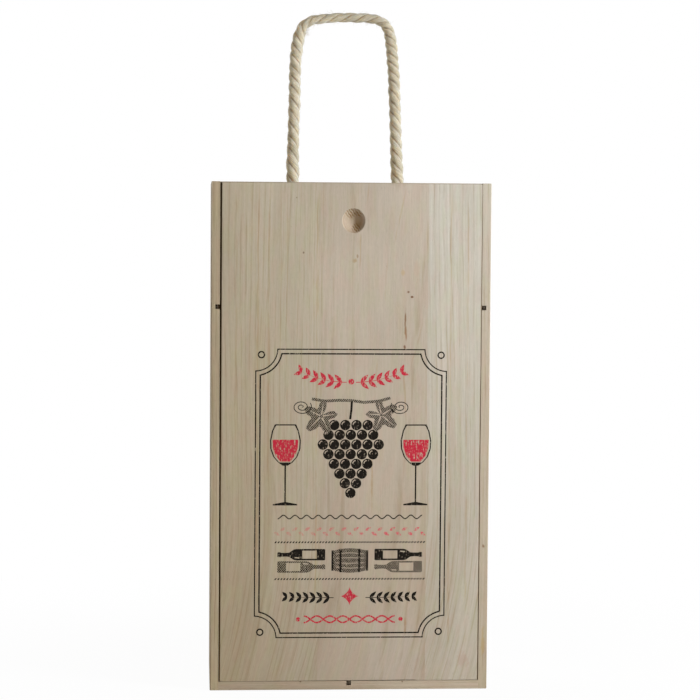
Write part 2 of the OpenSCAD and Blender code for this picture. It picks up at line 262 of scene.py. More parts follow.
def grown(tree, board):
    """The wood's colour, its height for the bump and its roughness, as sockets."""
    axes = dict(zip("XYZ", place(tree)))
    along, across, through = axes[board.along], axes[board.across], axes[board.through]
    lengthways = tree.sum(along, board.seed * SEED_ALONG)
    grain = across
    if board.flare:
        height, rate = board.flare
        under = tree.larger(tree.minus(height, along), 0.0)
        grain = tree.ramp(tree.times(under, under), rate, across)

    def spots(cell, length, shift=0.0, detail=2, roughness=0.5):
        """Noise with cells `cell` wide and `length` long, in mm, drawn out along the grain."""
        shift += board.seed * SEED_ACROSS
        at = tree.point(tree.ramp(grain, 1 / cell, shift), tree.times(through, 1 / cell),
                        tree.times(lengthways, 1 / length))
        return tree.noise(at, detail, roughness)

    def swing(value, amount):
        """A noise about zero, times amount."""
        return tree.times(tree.minus(value, 0.5), amount)

    edges = [s[0] for s in board.strips[:-1]]
    pith_across, pith_through, drift, strength = (
        stepped(tree, across, edges, [s[k] for s in board.strips]) for k in (1, 2, 3, 4))
    tint = tree.point(*(stepped(tree, across, edges, [s[5][k] for s in board.strips]) for k in range(3)))

    # The distance from the tree's middle, wandering along the trunk
    off_across = tree.minus(tree.minus(grain, pith_across), tree.times(along, drift))
    off_through = tree.minus(through, pith_through)
    radius = tree.root(tree.sum(tree.times(off_across, off_across), tree.times(off_through, off_through)))
    radius = tree.sum(radius, swing(spots(55, 300, detail=1), 7.0), swing(spots(7, 34), 1.3))

    slow = tree.times(lengthways, 1 / 260)
    bands = tree.noise(tree.point(tree.times(radius, 1 / 2.3), slow, 3.0 + board.seed), 3, 0.6)
    broad = tree.noise(tree.point(tree.times(radius, 1 / 15), slow, 11.0 + board.seed), detail=1)
    rings = tree.fract(tree.sum(tree.times(radius, 1 / board.ring), tree.times(broad, 3.0)))
    late = tree.times(tree.between(rings, 0.62, 0.86), tree.between(rings, 1.0, 0.92))
    broken = tree.between(spots(2.4, 26, 5.0), 0.36, 0.62)
    late = tree.times(late, broken)
    streaks = spots(0.75, 24, detail=3, roughness=0.6)
    fibres = spots(0.42, 5)
    mottle = spots(1.7, 3.2)
    pores = tree.between(spots(0.45, 3.0, detail=1), 0.66, 0.74)

    deep = tree.sum(swing(bands, 0.75), swing(broad, 0.62), tree.times(late, 0.27))
    deep = tree.math("MULTIPLY_ADD", deep, strength, 0.38, clamp=True)
    colour = tree.mix(deep, linear(*board.light), linear(*board.dark))
    grey = tree.sum(1.0, swing(streaks, 0.24), swing(fibres, 0.15), swing(mottle, 0.09),
                    tree.times(pores, -0.10))
    patch = spots(38, 150)
    grey = tree.times(grey, tree.between(patch, 0.3, 0.7, 0.96, 1.04))
    colour = tree.add("VectorMath", {0: tree.shade(colour, grey), 1: tint}, operation="MULTIPLY").outputs[0]
    pink = tree.between(spots(5, 17, 9.0, detail=1), 0.46, 0.64)
    green = tree.between(spots(6, 20, 31.0, detail=1), 0.48, 0.66)
    colour = tinted(tree, pink, colour, (1.015, 0.972, 0.975))
    colour = tinted(tree, green, colour, (0.980, 1.006, 0.955))

    for at, half, low, high, most, lean in board.lines:
        ragged = swing(spots(3.0, 22, at), 2.4)
        line_at = tree.ramp(along, lean, at - lean * (low + high) / 2)
        away = tree.abs(tree.minus(tree.sum(across, ragged), line_at))
        whole = tree.between(spots(1.6, 18, at), 0.34, 0.56)
        ease = min(25, (high - low) / 4)
        ends = tree.times(tree.between(along, low, low + ease), tree.between(along, high, high - ease))
        share = tree.times(tree.between(away, half, 0.25 * half), whole, ends, most)
        colour = tinted(tree, share, colour, (0.90, 0.80, 0.68))

    for limits, tint in board.fade:
        share = 1.0
        for axis, low, high in limits:
            share = tree.times(share, tree.between(axes[axis], low, high))
        colour = tinted(tree, share, colour, tint)

    wobble = swing(spots(1.8, 4.0), 1.5)
    for centre, halves, tint, most in board.marks:
        parts = []
        for axis, at, half in zip("XYZ", centre, halves):
            part = tree.times(tree.minus(axes[axis], at), 1 / half)
            parts.append(tree.times(part, part))
        far = tree.sum(tree.root(tree.sum(*parts)), wobble)
        colour = tree.mix(tree.between(far, 1.05, 0.35, 0.0, most), colour, linear(*tint))

    # Painted shade: faces in the gaps beside the lid, in its grooves and in the slots are darkened where
    # shade falls
    for centre, halves, tint in board.painted_shade:
        share = 1.0
        for axis, at, half in zip("XYZ", centre, halves):
            if half < UNLIMITED:
                away = tree.abs(tree.minus(axes[axis], at))
                share = tree.times(share, tree.between(away, half + 0.25, half))
        colour = tinted(tree, share, colour, tint)

    # Cut ends drink more light than the faces do
    turned = tree.add("SeparateXYZ", {0: tree.add("TexCoord").outputs["Normal"]}).outputs
    cut_end = tree.between(tree.abs(turned[board.along]), 0.6, 0.95)
    speckle = spots(0.5, 0.5)
    end_grey = tree.times(tree.between(speckle, 0.3, 0.7, 0.88, 1.08), END_DARK)
    end_colour = tree.shade(tree.multiply(colour, (1.0, 0.95, 0.86)), end_grey)
    colour = tree.mix(cut_end, colour, end_colour)
    if board.plies is not None:
        # A plywood plate: the middle ply shows its end on the plate's edges
        thick = tree.abs(tree.minus(through, board.plies))
        edge_on = tree.between(tree.abs(turned[board.through]), 0.5, 0.3)
        core = tree.times(edge_on, tree.between(thick, 0.62, 0.5))
        colour = tree.mix(tree.times(core, 0.55), colour, linear(150, 122, 88))

    height = tree.sum(
        tree.times(streaks, 0.5),
        tree.times(fibres, 0.45),
        tree.times(pores, -0.5),
        tree.times(late, -0.15),
        tree.times(cut_end, speckle),
    )
    rough = tree.between(tree.sum(fibres, tree.times(pores, 0.3)), 0.2, 1.0, 0.6, 0.86)
    return colour, height, rough


def worn(tree, colour):
    """colour, paler along the rubbed arrises, and a normal that rounds them."""
    soft = tree.add("Bevel", {"Radius": 0.4 * MM}, samples=4).outputs[0]
    true = tree.add("NewGeometry").outputs["Normal"]
    level = tree.add("VectorMath", {0: soft, 1: true}, operation="DOT_PRODUCT").outputs["Value"]
    edge = tree.between(level, 0.995, 0.93)
    return tree.mix(tree.times(edge, 0.8), colour, tree.shade(colour, 1.10)), soft


def wood(name, board, torn=None, shine=WOOD_SHINE):
    """The board's material. torn names a mesh attribute that darkens torn fibres and paints shade in the
    scoop.
    """
    tree = Tree(name)
    colour, height, rough = grown(tree, board)
    colour, soft = worn(tree, colour)
    if torn:
        # Torn fibres, and painted shade in the scoop
        share = tree.add("Attribute", attribute_name=torn).outputs["Fac"]
        colour = tinted(tree, share, colour, (0.56, 0.36, 0.15))
    return tree.principled({"Base Color": colour, "Roughness": rough, "Specular IOR Level": shine,
                            "Normal": tree.bump(height, 0.09, soft)})


def ink(name, board, colour_of_ink, cover, fade=None, hatch=False):
    """Printing ink on that board: the grain breaks it up."""
    tree = Tree(name)
    colour, height, rough = grown(tree, board)
    x, _, z = place(tree)
    grain = tree.noise(tree.point(tree.times(x, 1 / 0.5), 0.0, tree.times(z, 1 / 5.0)), 3)
    specks = tree.noise(tree.point(tree.times(x, 1 / 1.3), 4.0, tree.times(z, 1 / 1.6)), 3)
    worn_off = tree.ramp(tree.minus(specks, 0.5), 0.8, grain)
    shown = tree.between(worn_off, cover + 0.10, cover - 0.06)
    if hatch:
        slant = tree.ramp(z, 0.75, x)
        slant = tree.fract(tree.ramp(specks, 0.7, tree.times(slant, 1 / 1.3)))
        gap = tree.times(tree.between(slant, 0.0, 0.10), tree.between(slant, 0.40, 0.30))
        shown = tree.times(shown, tree.ramp(gap, -0.95, 1.0))
    if fade:
        low_x, high_x, least = fade
        shown = tree.times(shown, tree.between(x, low_x, high_x, least, 1.0))
    colour = tree.mix(shown, colour, linear(*colour_of_ink))
    rough = tree.ramp(shown, -0.12, rough)
    return tree.principled({"Base Color": colour, "Roughness": rough, "Specular IOR Level": INK_SHINE,
                            "Normal": tree.bump(height, 0.07)})


# Rope

LAY = 25.6
HOLE_LEFT, HOLE_RIGHT = -38.5, 35.1
BOX_TOP = 350.0
BEND_Z = 354.5
JOIN_Z = 346.5
TOP_UNDER_Z = 344.0
KNOT_Z = 330.7
LOOP = [
    (-38.8, 14), (-38.5, 28), (-38.2, 42), (-37.8, 57), (-37.6, 72), (-37.3, 84), (-36.3, 94), (-34.8, 102.5),
    (-32.2, 109.6), (-26.4, 113.9), (-17.5, 115.4), (-6.3, 116.4), (4.7, 116.4), (13.7, 116.2), (20.8, 114.9),
    (26, 111.5), (28.7, 106), (30.1, 98.5), (31.1, 88), (32.1, 76), (32.7, 62), (33.4, 46), (33.9, 31),
    (34.6, 15),
]
KNOT_HALF = [
    (7, 0, 0), (5.5, 8, -3.5), (-1, 11, -7.5), (-8, 7.5, -9), (-10, -0.5, -7),
    (-6, -5, -1), (-1.5, -2.5, 5), (0, -0.5, 11.5),
]
KNOT_TAIL = [(1.5, 2, -23), (0, 0, -16.5)]
STRAND_OFF, STRAND_R = 1.25, 3.0
# Points round a strand, and mm between its rings
PER_STRAND, RING_PITCH = 20, 0.75
# The strands' UV counts one per strand across, and one per this many mm along
UV_LENGTH = 10
# How many thirds of a turn the strands have made at places along the loop
THIRDS = ((4.2, 0), (24.9, 2), (69.4, 7), (104.6, 12), (128.8, 15), (165.7, 19), (216.1, 27), (240.2, 30),
          (283.6, 35))
ROPE_SHINE = 0.15
FRAY_HAIRS, FRAY_R, FRAY_WIDE = 90, 0.09, 3.3
FUZZ_HAIRS, FUZZ_R = 640, 0.065
# The tuft of loose fibres at the loop's left corner: its place, the way into the corner and its hairs
TUFT_AT, TUFT_IN, TUFT_HAIRS = (-33.2, 0, 457.5), (0.78, -0.25, -0.57), 26


def smooth(points, steps=12):
    """The smooth line through the points, as the part's source draws it."""
    p = np.array(points, float)
    out = []
    for i in range(len(p) - 1):
        a, b, c, d = p[max(i - 1, 0)], p[i], p[i + 1], p[min(i + 2, len(p) - 1)]
        for f in np.arange(steps) / steps:
            out.append((2 * b + (c - a) * f + (2 * a - 5 * b + 4 * c - d) * f ** 2
                        + (3 * b - 3 * c + d - a) * f ** 3) / 2)
    return np.array(out + [p[-1]])


def evenly(line, pitch):
    """The same line, with its points about `pitch` apart."""
    lengths = np.concatenate([[0], np.cumsum(np.linalg.norm(np.diff(line, axis=0), axis=1))])
    count = max(2, int(round(lengths[-1] / pitch)) + 1)
    at = np.linspace(0, lengths[-1], count)
    return np.stack([np.interp(at, lengths, line[:, k]) for k in range(3)], axis=1), at


def carried(line, first):
    """Directions along the line, and two square to them carried along without twist."""
    t = np.gradient(line, axis=0)
    t /= np.linalg.norm(t, axis=1)[:, None]
    n = np.zeros_like(t)
    v = np.array(first, float)
    for i in range(len(t)):
        v = v - v.dot(t[i]) * t[i]
        v /= np.linalg.norm(v)
        n[i] = v
    return t, n, np.cross(t, n)


def bands(first, rings, sides):
    """The faces with four corners between rings of points, ring after ring from point number first."""
    for foot in range(first, first + (rings - 1) * sides, sides):
        for j in range(sides):
            k = (j + 1) % sides
            yield foot + j, foot + k, foot + sides + k, foot + sides + j


def new_piece(name, vertices, faces, material, uvs=None):
    mesh = bpy.data.meshes.new(name)
    mesh.from_pydata([tuple(v) for v in np.asarray(vertices) * MM], [], [tuple(f) for f in faces])
    if uvs is not None:
        layer = mesh.uv_layers.new(name="strand")
        flat = np.concatenate([np.asarray(u, float) for u in uvs]).ravel()
        layer.data.foreach_set("uv", flat)
    mesh.polygons.foreach_set("use_smooth", [True] * len(mesh.polygons))
    mesh.materials.append(material)
    mesh.update()
    return show(name, mesh)


def laid_rope(name, line, first, twist, material, seed, swell=None):
    """Three strands laid left-handed along the line, as one closed skin. twist gives their turn."""
    points, at = evenly(line, RING_PITCH)
    t, n, b = carried(points, first)
    turned = twist(at)
    rng = np.random.default_rng(seed)
    phases = rng.uniform(0, 2 * math.pi, (3, 4))
    rings = len(points)
    sides = 3 * PER_STRAND
    local = np.linspace(-math.pi / 3, math.pi / 3, PER_STRAND + 1)[:-1]
    vertices = np.zeros((rings, sides, 3))
    for k in range(3):
        for m, phi in enumerate(local):
            lumps = (0.08 * np.sin(at / 3.7 + phases[k, 0]) + 0.06 * np.sin(at / 1.9 + phases[k, 1])
                     + 0.05 * np.sin(at / 7.9 + phases[k, 2])
                     + 0.07 * np.sin(2.1 * at + 5.1 * phi + phases[k, 3])
                     + 0.06 * np.sin(1.3 * at - 8.3 * phi + phases[k, 1]))
            yarn = 0.09 * np.abs(np.sin(2.5 * (phi * 3 / 2) + at * 0.33 + phases[k, 3])) - 0.045
            r = STRAND_OFF * math.cos(phi) + math.sqrt(STRAND_R ** 2 - (STRAND_OFF * math.sin(phi)) ** 2)
            crown = max(0.0, math.cos(1.5 * phi))
            radius = r + (lumps + yarn) * crown
            if swell is not None:
                radius = radius * swell(at)
            angle = turned + 2 * math.pi * k / 3 + phi
            vertices[:, k * PER_STRAND + m] = (
                points + radius[:, None] * (np.cos(angle)[:, None] * n + np.sin(angle)[:, None] * b))
    faces, uvs = list(bands(0, rings, sides)), []
    for i in range(rings - 1):
        for j in range(sides):
            strand, m = divmod(j, PER_STRAND)
            u0, u1 = strand + m / PER_STRAND, strand + (m + 1) / PER_STRAND
            v0, v1 = at[i] / UV_LENGTH, at[i + 1] / UV_LENGTH
            uvs.append(((u0, v0), (u1, v0), (u1, v1), (u0, v1)))
    flat = [tuple(v) for v in vertices.reshape(-1, 3)]
    for ring, order in ((0, -1), (rings - 1, 1)):
        middle = len(flat)
        flat.append(tuple(points[ring] + 0.5 * order * t[ring]))
        for j in range(sides):
            k = (j + 1) % sides
            a, c = ring * sides + j, ring * sides + k
            faces.append((a, c, middle) if order == 1 else (c, a, middle))
            uvs.append(((j / PER_STRAND, at[ring] / UV_LENGTH),) * 3)
    return new_piece(name, flat, faces, material, uvs=uvs), points, (t, n, b)


def hairs(name, roots, ways, lengths, radius, material, seed, droop=0.35):
    """Loose fibres: thin closed tubes with three sides that start inside the rope and curl."""
    rng = np.random.default_rng(seed)
    vertices, faces = [], []
    steps = 5
    for root, way, length in zip(roots, ways, lengths):
        way = np.array(way, float) / np.linalg.norm(way)
        bend = rng.normal(size=3)
        bend -= bend.dot(way) * way
        bend *= droop / (np.linalg.norm(bend) + 1e-9)
        line = [np.array(root) + length * (f * way + bend * f * f) for f in np.linspace(0, 1, steps)]
        side = np.cross(way, rng.normal(size=3))
        side /= np.linalg.norm(side)
        other = np.cross(way, side)
        start = len(vertices)
        for i, p in enumerate(line):
            r = radius * (1 - 0.6 * i / (steps - 1))
            for j in range(3):
                a = 2 * math.pi * j / 3
                vertices.append(p + r * (math.cos(a) * side + math.sin(a) * other))
        last = start + 3 * (steps - 1)
        faces += bands(start, steps, 3)
        faces += [(start + 2, start + 1, start), (last, last + 1, last + 2)]
    return new_piece(name, vertices, faces, material)


def rope_material(name):
    """Natural fibre: yarns that run along each strand, and painted shade in the creases between the strands
    and on the top run.
    """
    tree = Tree(name)
    uv = tree.add("UVMap", uv_map="strand").outputs[0]
    u, v, _ = tree.add("SeparateXYZ", {0: uv}).outputs

    def spots(a, per_a, per_v, shift, detail=2):
        return tree.noise(tree.point(tree.times(a, per_a), tree.times(v, per_v), shift), detail)

    # Painted shade: a darker brown in the creases between the strands, in patches
    away = tree.abs(tree.minus(tree.fract(u), 0.5))
    crease_patches = spots(u, 3.0, 3.0, 7.0)
    crease_shade = tree.times(tree.between(away, 0.38, 0.49), tree.between(crease_patches, 0.30, 0.60, 0.30, 1.0))
    skew = tree.ramp(v, 2.0, tree.times(u, 5.5))
    yarns = spots(skew, 2.6, 1.5, 0.0, 3)
    fibres = spots(skew, 7.5, 2.5, 2.0)
    fuzz = spots(u, 14.0, 30.0, 5.0, 3)
    stain = spots(u, 0.8, 0.9, 9.0)
    warm = spots(skew, 1.9, 2.2, 14.0)
    colour = tree.mix(tree.between(stain, 0.35, 0.7), linear(234, 226, 207), linear(218, 210, 190))
    colour = tinted(tree, tree.between(warm, 0.50, 0.68), colour, (1.0, 0.975, 0.86))
    colour = tree.shade(colour, tree.between(yarns, 0.34, 0.66, 0.76, 1.05))
    colour = tree.shade(colour, tree.between(fibres, 0.34, 0.66, 0.82, 1.06))
    colour = tree.shade(colour, tree.between(fuzz, 0.3, 0.7, 0.92, 1.05))
    # Painted shade: the top run of the loop, lit more from above, is made darker
    top_run = tree.times(tree.between(v, 11.0, 12.5), tree.between(v, 24.0, 22.5))
    colour = tinted(tree, top_run, colour, (0.90, 0.89, 0.87))
    colour = tree.mix(tree.times(crease_shade, 0.7), colour, linear(144, 116, 80))
    height = tree.sum(tree.times(yarns, 0.7), tree.times(fibres, 0.6), tree.times(fuzz, 0.7))
    return tree.principled({
        "Base Color": colour, "Normal": tree.bump(height, 0.6), "Specular IOR Level": ROPE_SHINE,
        "Roughness": tree.between(fuzz, 0.3, 0.7, 0.78, 0.95),
        "Sheen Weight": 0.20, "Sheen Roughness": 0.5, "Sheen Tint": (0.93, 1.0, 0.95, 1),
        "Subsurface Weight": 1.0, "Subsurface Radius": (1.0, 0.85, 0.65), "Subsurface Scale": 8.0 * MM,
    })


def fibre_material(name):
    tree = Tree(name)
    x, y, z = place(tree)
    tone = tree.noise(tree.point(x, y, z), scale=0.4)
    colour = tree.mix(tree.between(tone, 0.35, 0.65), linear(206, 196, 172), linear(186, 172, 144))
    rough = tree.between(tone, 0.3, 0.7, 0.7, 0.9)
    return tree.principled({"Base Color": colour, "Roughness": rough, "Specular IOR Level": ROPE_SHINE})


rope_look = rope_material("laid_rope")
fibre_look = fibre_material("loose_fibre")


def handle_line():
    legs = [(HOLE_LEFT, 0, JOIN_Z), (HOLE_LEFT, 0, BEND_Z)]
    legs += [(x, 0, BOX_TOP + z) for x, z in LOOP]
    return smooth(legs + [(HOLE_RIGHT, 0, BEND_Z), (HOLE_RIGHT, 0, JOIN_Z)])


def knot_line(side):
    route = [Vector(q) for q in KNOT_TAIL]
    route += [Vector((x, -y, -z)) for x, y, z in reversed(KNOT_HALF[1:])]
    route += [Vector(q) for q in KNOT_HALF]
    line = [(q.x, q.y, q.z + KNOT_Z) for q in route] + [(0, 0, TOP_UNDER_Z), (0, 0, JOIN_Z)]
    turned = np.array(line, float)
    if side > 0:
        turned[:, :2] *= -1
    turned[:, 0] += HOLE_RIGHT if side > 0 else HOLE_LEFT
    return smooth(turned)


def fray(points, frame_of, count, seed):
    """Roots and directions of the fibres at the cut end of a tail, which is the line's start."""
    rng = np.random.default_rng(seed)
    t, n, b = (f[0] for f in frame_of)
    roots, ways, lengths = [], [], []
    for _ in range(count):
        a, r = rng.uniform(0, 2 * math.pi), FRAY_WIDE * math.sqrt(rng.uniform(0, 1))
        off = r * (math.cos(a) * n + math.sin(a) * b)
        roots.append(points[0] + off + 0.4 * t)
        ways.append(-t + 0.25 * off / FRAY_WIDE + 0.18 * rng.normal(size=3))
        lengths.append(rng.uniform(1.5, 4.2))
    return roots, ways, lengths


loop_path = handle_line()


def girth(at):
    """The rope is nipped in its holes, loose above them, and drawn thinner where a hand has held it."""
    from_end = np.minimum(at, at[-1] - at)
    top_run = np.clip((from_end - 107) / 10.5, 0, 1)
    nipped = 1 - np.clip((from_end - 2) / 5, 0, 1)
    loose = np.clip((28 - from_end) / 14, 0, 1)
    bulge = np.exp(-((at - 99) / 9) ** 2)
    return (1 - 0.21 * top_run) * (1 - 0.04 * nipped) * (1 + 0.09 * loose * (1 - nipped) + 0.05 * bulge)


def loop_twist(at):
    """The strands' turn along the loop, tighter where the hand has turned the rope."""
    places, thirds = (np.array(column, float) for column in zip(*THIRDS))
    made = np.interp(at, places, thirds)
    made += np.minimum(at - places[0], 0) * (thirds[1] - thirds[0]) / (places[1] - places[0])
    made += np.maximum(at - places[-1], 0) * (thirds[-1] - thirds[-2]) / (places[-1] - places[-2])
    return -5 * math.pi / 6 - 2 * math.pi / 3 * made


loop, loop_points, loop_frame = laid_rope("rope_loop", loop_path, (1, 0, 0), loop_twist, rope_look, 4, girth)
loop_length = float(np.linalg.norm(np.diff(loop_points, axis=0), axis=1).sum())

ends = []
for side, word in ((-1, "left"), (1, "right")):
    tail, tail_points, tail_frame = laid_rope(
        f"{word}_rope_end", knot_line(side), (1, 0, 0),
        lambda at: 0.3 + side - 2 * math.pi * at / LAY, rope_look, 10 + side)
    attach(tail, "case")
    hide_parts(f"{word}_rope_knot")
    brush = hairs(f"{word}_rope_fray", *fray(tail_points, tail_frame, FRAY_HAIRS, 20 + side), FRAY_R,
                  fibre_look, 30 + side)
    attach(brush, "case")
    ends += [tail, brush]


def fluff(points, frame_of, count, seed):
    """Short fibres along the rope, lying close to it, and the tuft at the loop's left corner."""
    rng = np.random.default_rng(seed)
    t, n, b = frame_of
    roots, ways, lengths = [], [], []
    for _ in range(count):
        i = int(rng.integers(14, len(points) - 14))
        a = rng.uniform(0, 2 * math.pi)
        out = math.cos(a) * n[i] + math.sin(a) * b[i]
        way = rng.choice((-1, 1)) * t[i] * rng.uniform(0.5, 1.0) + out * rng.uniform(0.25, 0.9)
        roots.append(points[i] + 3.2 * out)
        ways.append(way)
        lengths.append(rng.uniform(1.2, 3.2))
    corner = int(np.argmin(np.linalg.norm(points - np.array(TUFT_AT), axis=1)))
    inner = np.array(TUFT_IN)
    for _ in range(TUFT_HAIRS):
        i = corner + int(rng.integers(-3, 4))
        roots.append(points[i] + 3.0 * inner)
        ways.append(inner + np.array((0.5, -0.2, 0.1)) + 0.45 * rng.normal(size=3))
        lengths.append(rng.uniform(2.0, 4.6))
    return roots, ways, lengths


fuzz = hairs("rope_fuzz", *fluff(loop_points, loop_frame, FUZZ_HAIRS, 7), FUZZ_R, fibre_look, 8, droop=0.5)
for piece in (loop, fuzz):
    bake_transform(piece, "case", "handle", start=(0, 0, 0.3505), end=(0, 0, 0.3620))
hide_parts("rope_handle")
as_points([tuple(p * MM) for p in loop_points[::4]] + [tuple(loop_points[-1] * MM)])


# Boards

LID_STRIPS = (
    (-21.8, -230, 45, 0.00, 1.2, (0.985, 1.01, 1.04)),
    (52.8, 12, 62, 0.05, 1.2, (0.99, 0.99, 1.05)),
    # A paler strip of wood; its tint also paints part of the light on the lid's right side
    (UNLIMITED, 170, 25, 0.00, 1.3, (1.08, 1.165, 1.31)),
)
LID_LINES = (
    (-78.8, 1.2, 150, 350, 0.45, 0),
    (-64.1, 0.9, 60, 350, 0.75, 0),
    (-56.6, 0.9, 120, 350, 0.70, 0),
    (-48.4, 0.7, 180, 350, 0.45, 0),
    (-44.2, 0.7, 60, 350, 0.45, 0),
    (-23.2, 1.1, 20, 350, 0.80, 0),
    (10.8, 0.8, 333, 352, 0.55, 0.17),
    (33.2, 0.8, 305, 349, 0.50, 0.20),
    (23.8, 0.7, 262, 301, 0.45, 0.07),
    (6.0, 0.7, 290, 317, 0.90, 0.05),
    (18.2, 0.7, 212, 242, 0.60, 0.06),
    (37.0, 0.8, 184, 230, 0.85, -0.07),
    (44.0, 0.8, 208, 258, 0.45, 0.26),
    (68.6, 0.9, 20, 350, 0.70, 0),
    (80.4, 1.0, 20, 350, 0.60, 0),
)
LID_MARKS = (
    ((39.3, -49, 275.2), (1.2, 6, 0.9), (120, 84, 56), 0.85),
    ((41.7, -49, 271.8), (1.2, 6, 0.9), (112, 72, 46), 0.95),
    ((37.2, -49, 256.0), (0.75, 6, 10.0), (132, 96, 62), 0.85),
    ((37.8, -49, 246.0), (0.7, 6, 8.0), (150, 112, 74), 0.8),
    ((37.0, -49, 237.4), (0.9, 6, 1.6), (120, 84, 56), 0.85),
    ((35.4, -49, 288.2), (1.6, 6, 3.0), (186, 158, 118), 0.6),
    ((2.3, -49, 296.5), (2.0, 6, 2.2), (168, 138, 98), 0.6),
    ((4.0, -49, 299.5), (0.9, 6, 1.6), (150, 120, 84), 0.6),
    ((-37.9, -49, 339.4), (0.6, 6, 0.8), (120, 104, 84), 0.8),
    ((-33.0, -49, 301.8), (0.6, 6, 0.8), (112, 94, 74), 0.8),
    ((-5.1, -49, 178.0), (0.7, 6, 0.8), (130, 104, 78), 0.8),
    ((15.1, -49, 148.0), (0.8, 6, 23.0), (170, 136, 94), 0.5),
    ((38.8, -49, 44.7), (0.8, 6, 7.5), (160, 126, 84), 0.6),
    ((79.0, -49, 20.0), (5.5, 6, 7.0), (176, 138, 122), 0.35),
    ((44.5, -49, 290.0), (3.0, 6, 9.0), (190, 164, 146), 0.5),
)
LID_FADE = (
    # Painted shade: the first two rows darken the lid towards the bottom and towards the left, where the
    # light falls off
    ((("Z", 330, 30),), (0.89, 0.855, 0.81)),
    ((("X", 20, -90),), (0.99, 0.975, 0.95)),
    ((("X", -40, -88), ("Z", 320, 180)), (0.94, 0.915, 0.86)),
    ((("Z", 285, 318), ("X", -27, -23), ("X", 46, 34)), (0.94, 0.93, 0.92)),
    ((("Z", 70, 35), ("X", 10, 22), ("X", 54, 48)), (1.06, 1.09, 1.15)),
)
LID_FLARE = (130.0, 0.0011)
# Painted shade: tints that darken the gap walls beside the lid, the lid's sides and the corners at its tongue
GAP_PAINTED_SHADE = (0.30, 0.22, 0.13)
LID_SIDE_PAINTED_SHADE = (0.44, 0.34, 0.23)
CORNER_LEFT_PAINTED_SHADE = (0.20, 0.15, 0.09)
CORNER_RIGHT_PAINTED_SHADE = (0.70, 0.66, 0.58)
TONGUE_FRONT_Y = -45.9
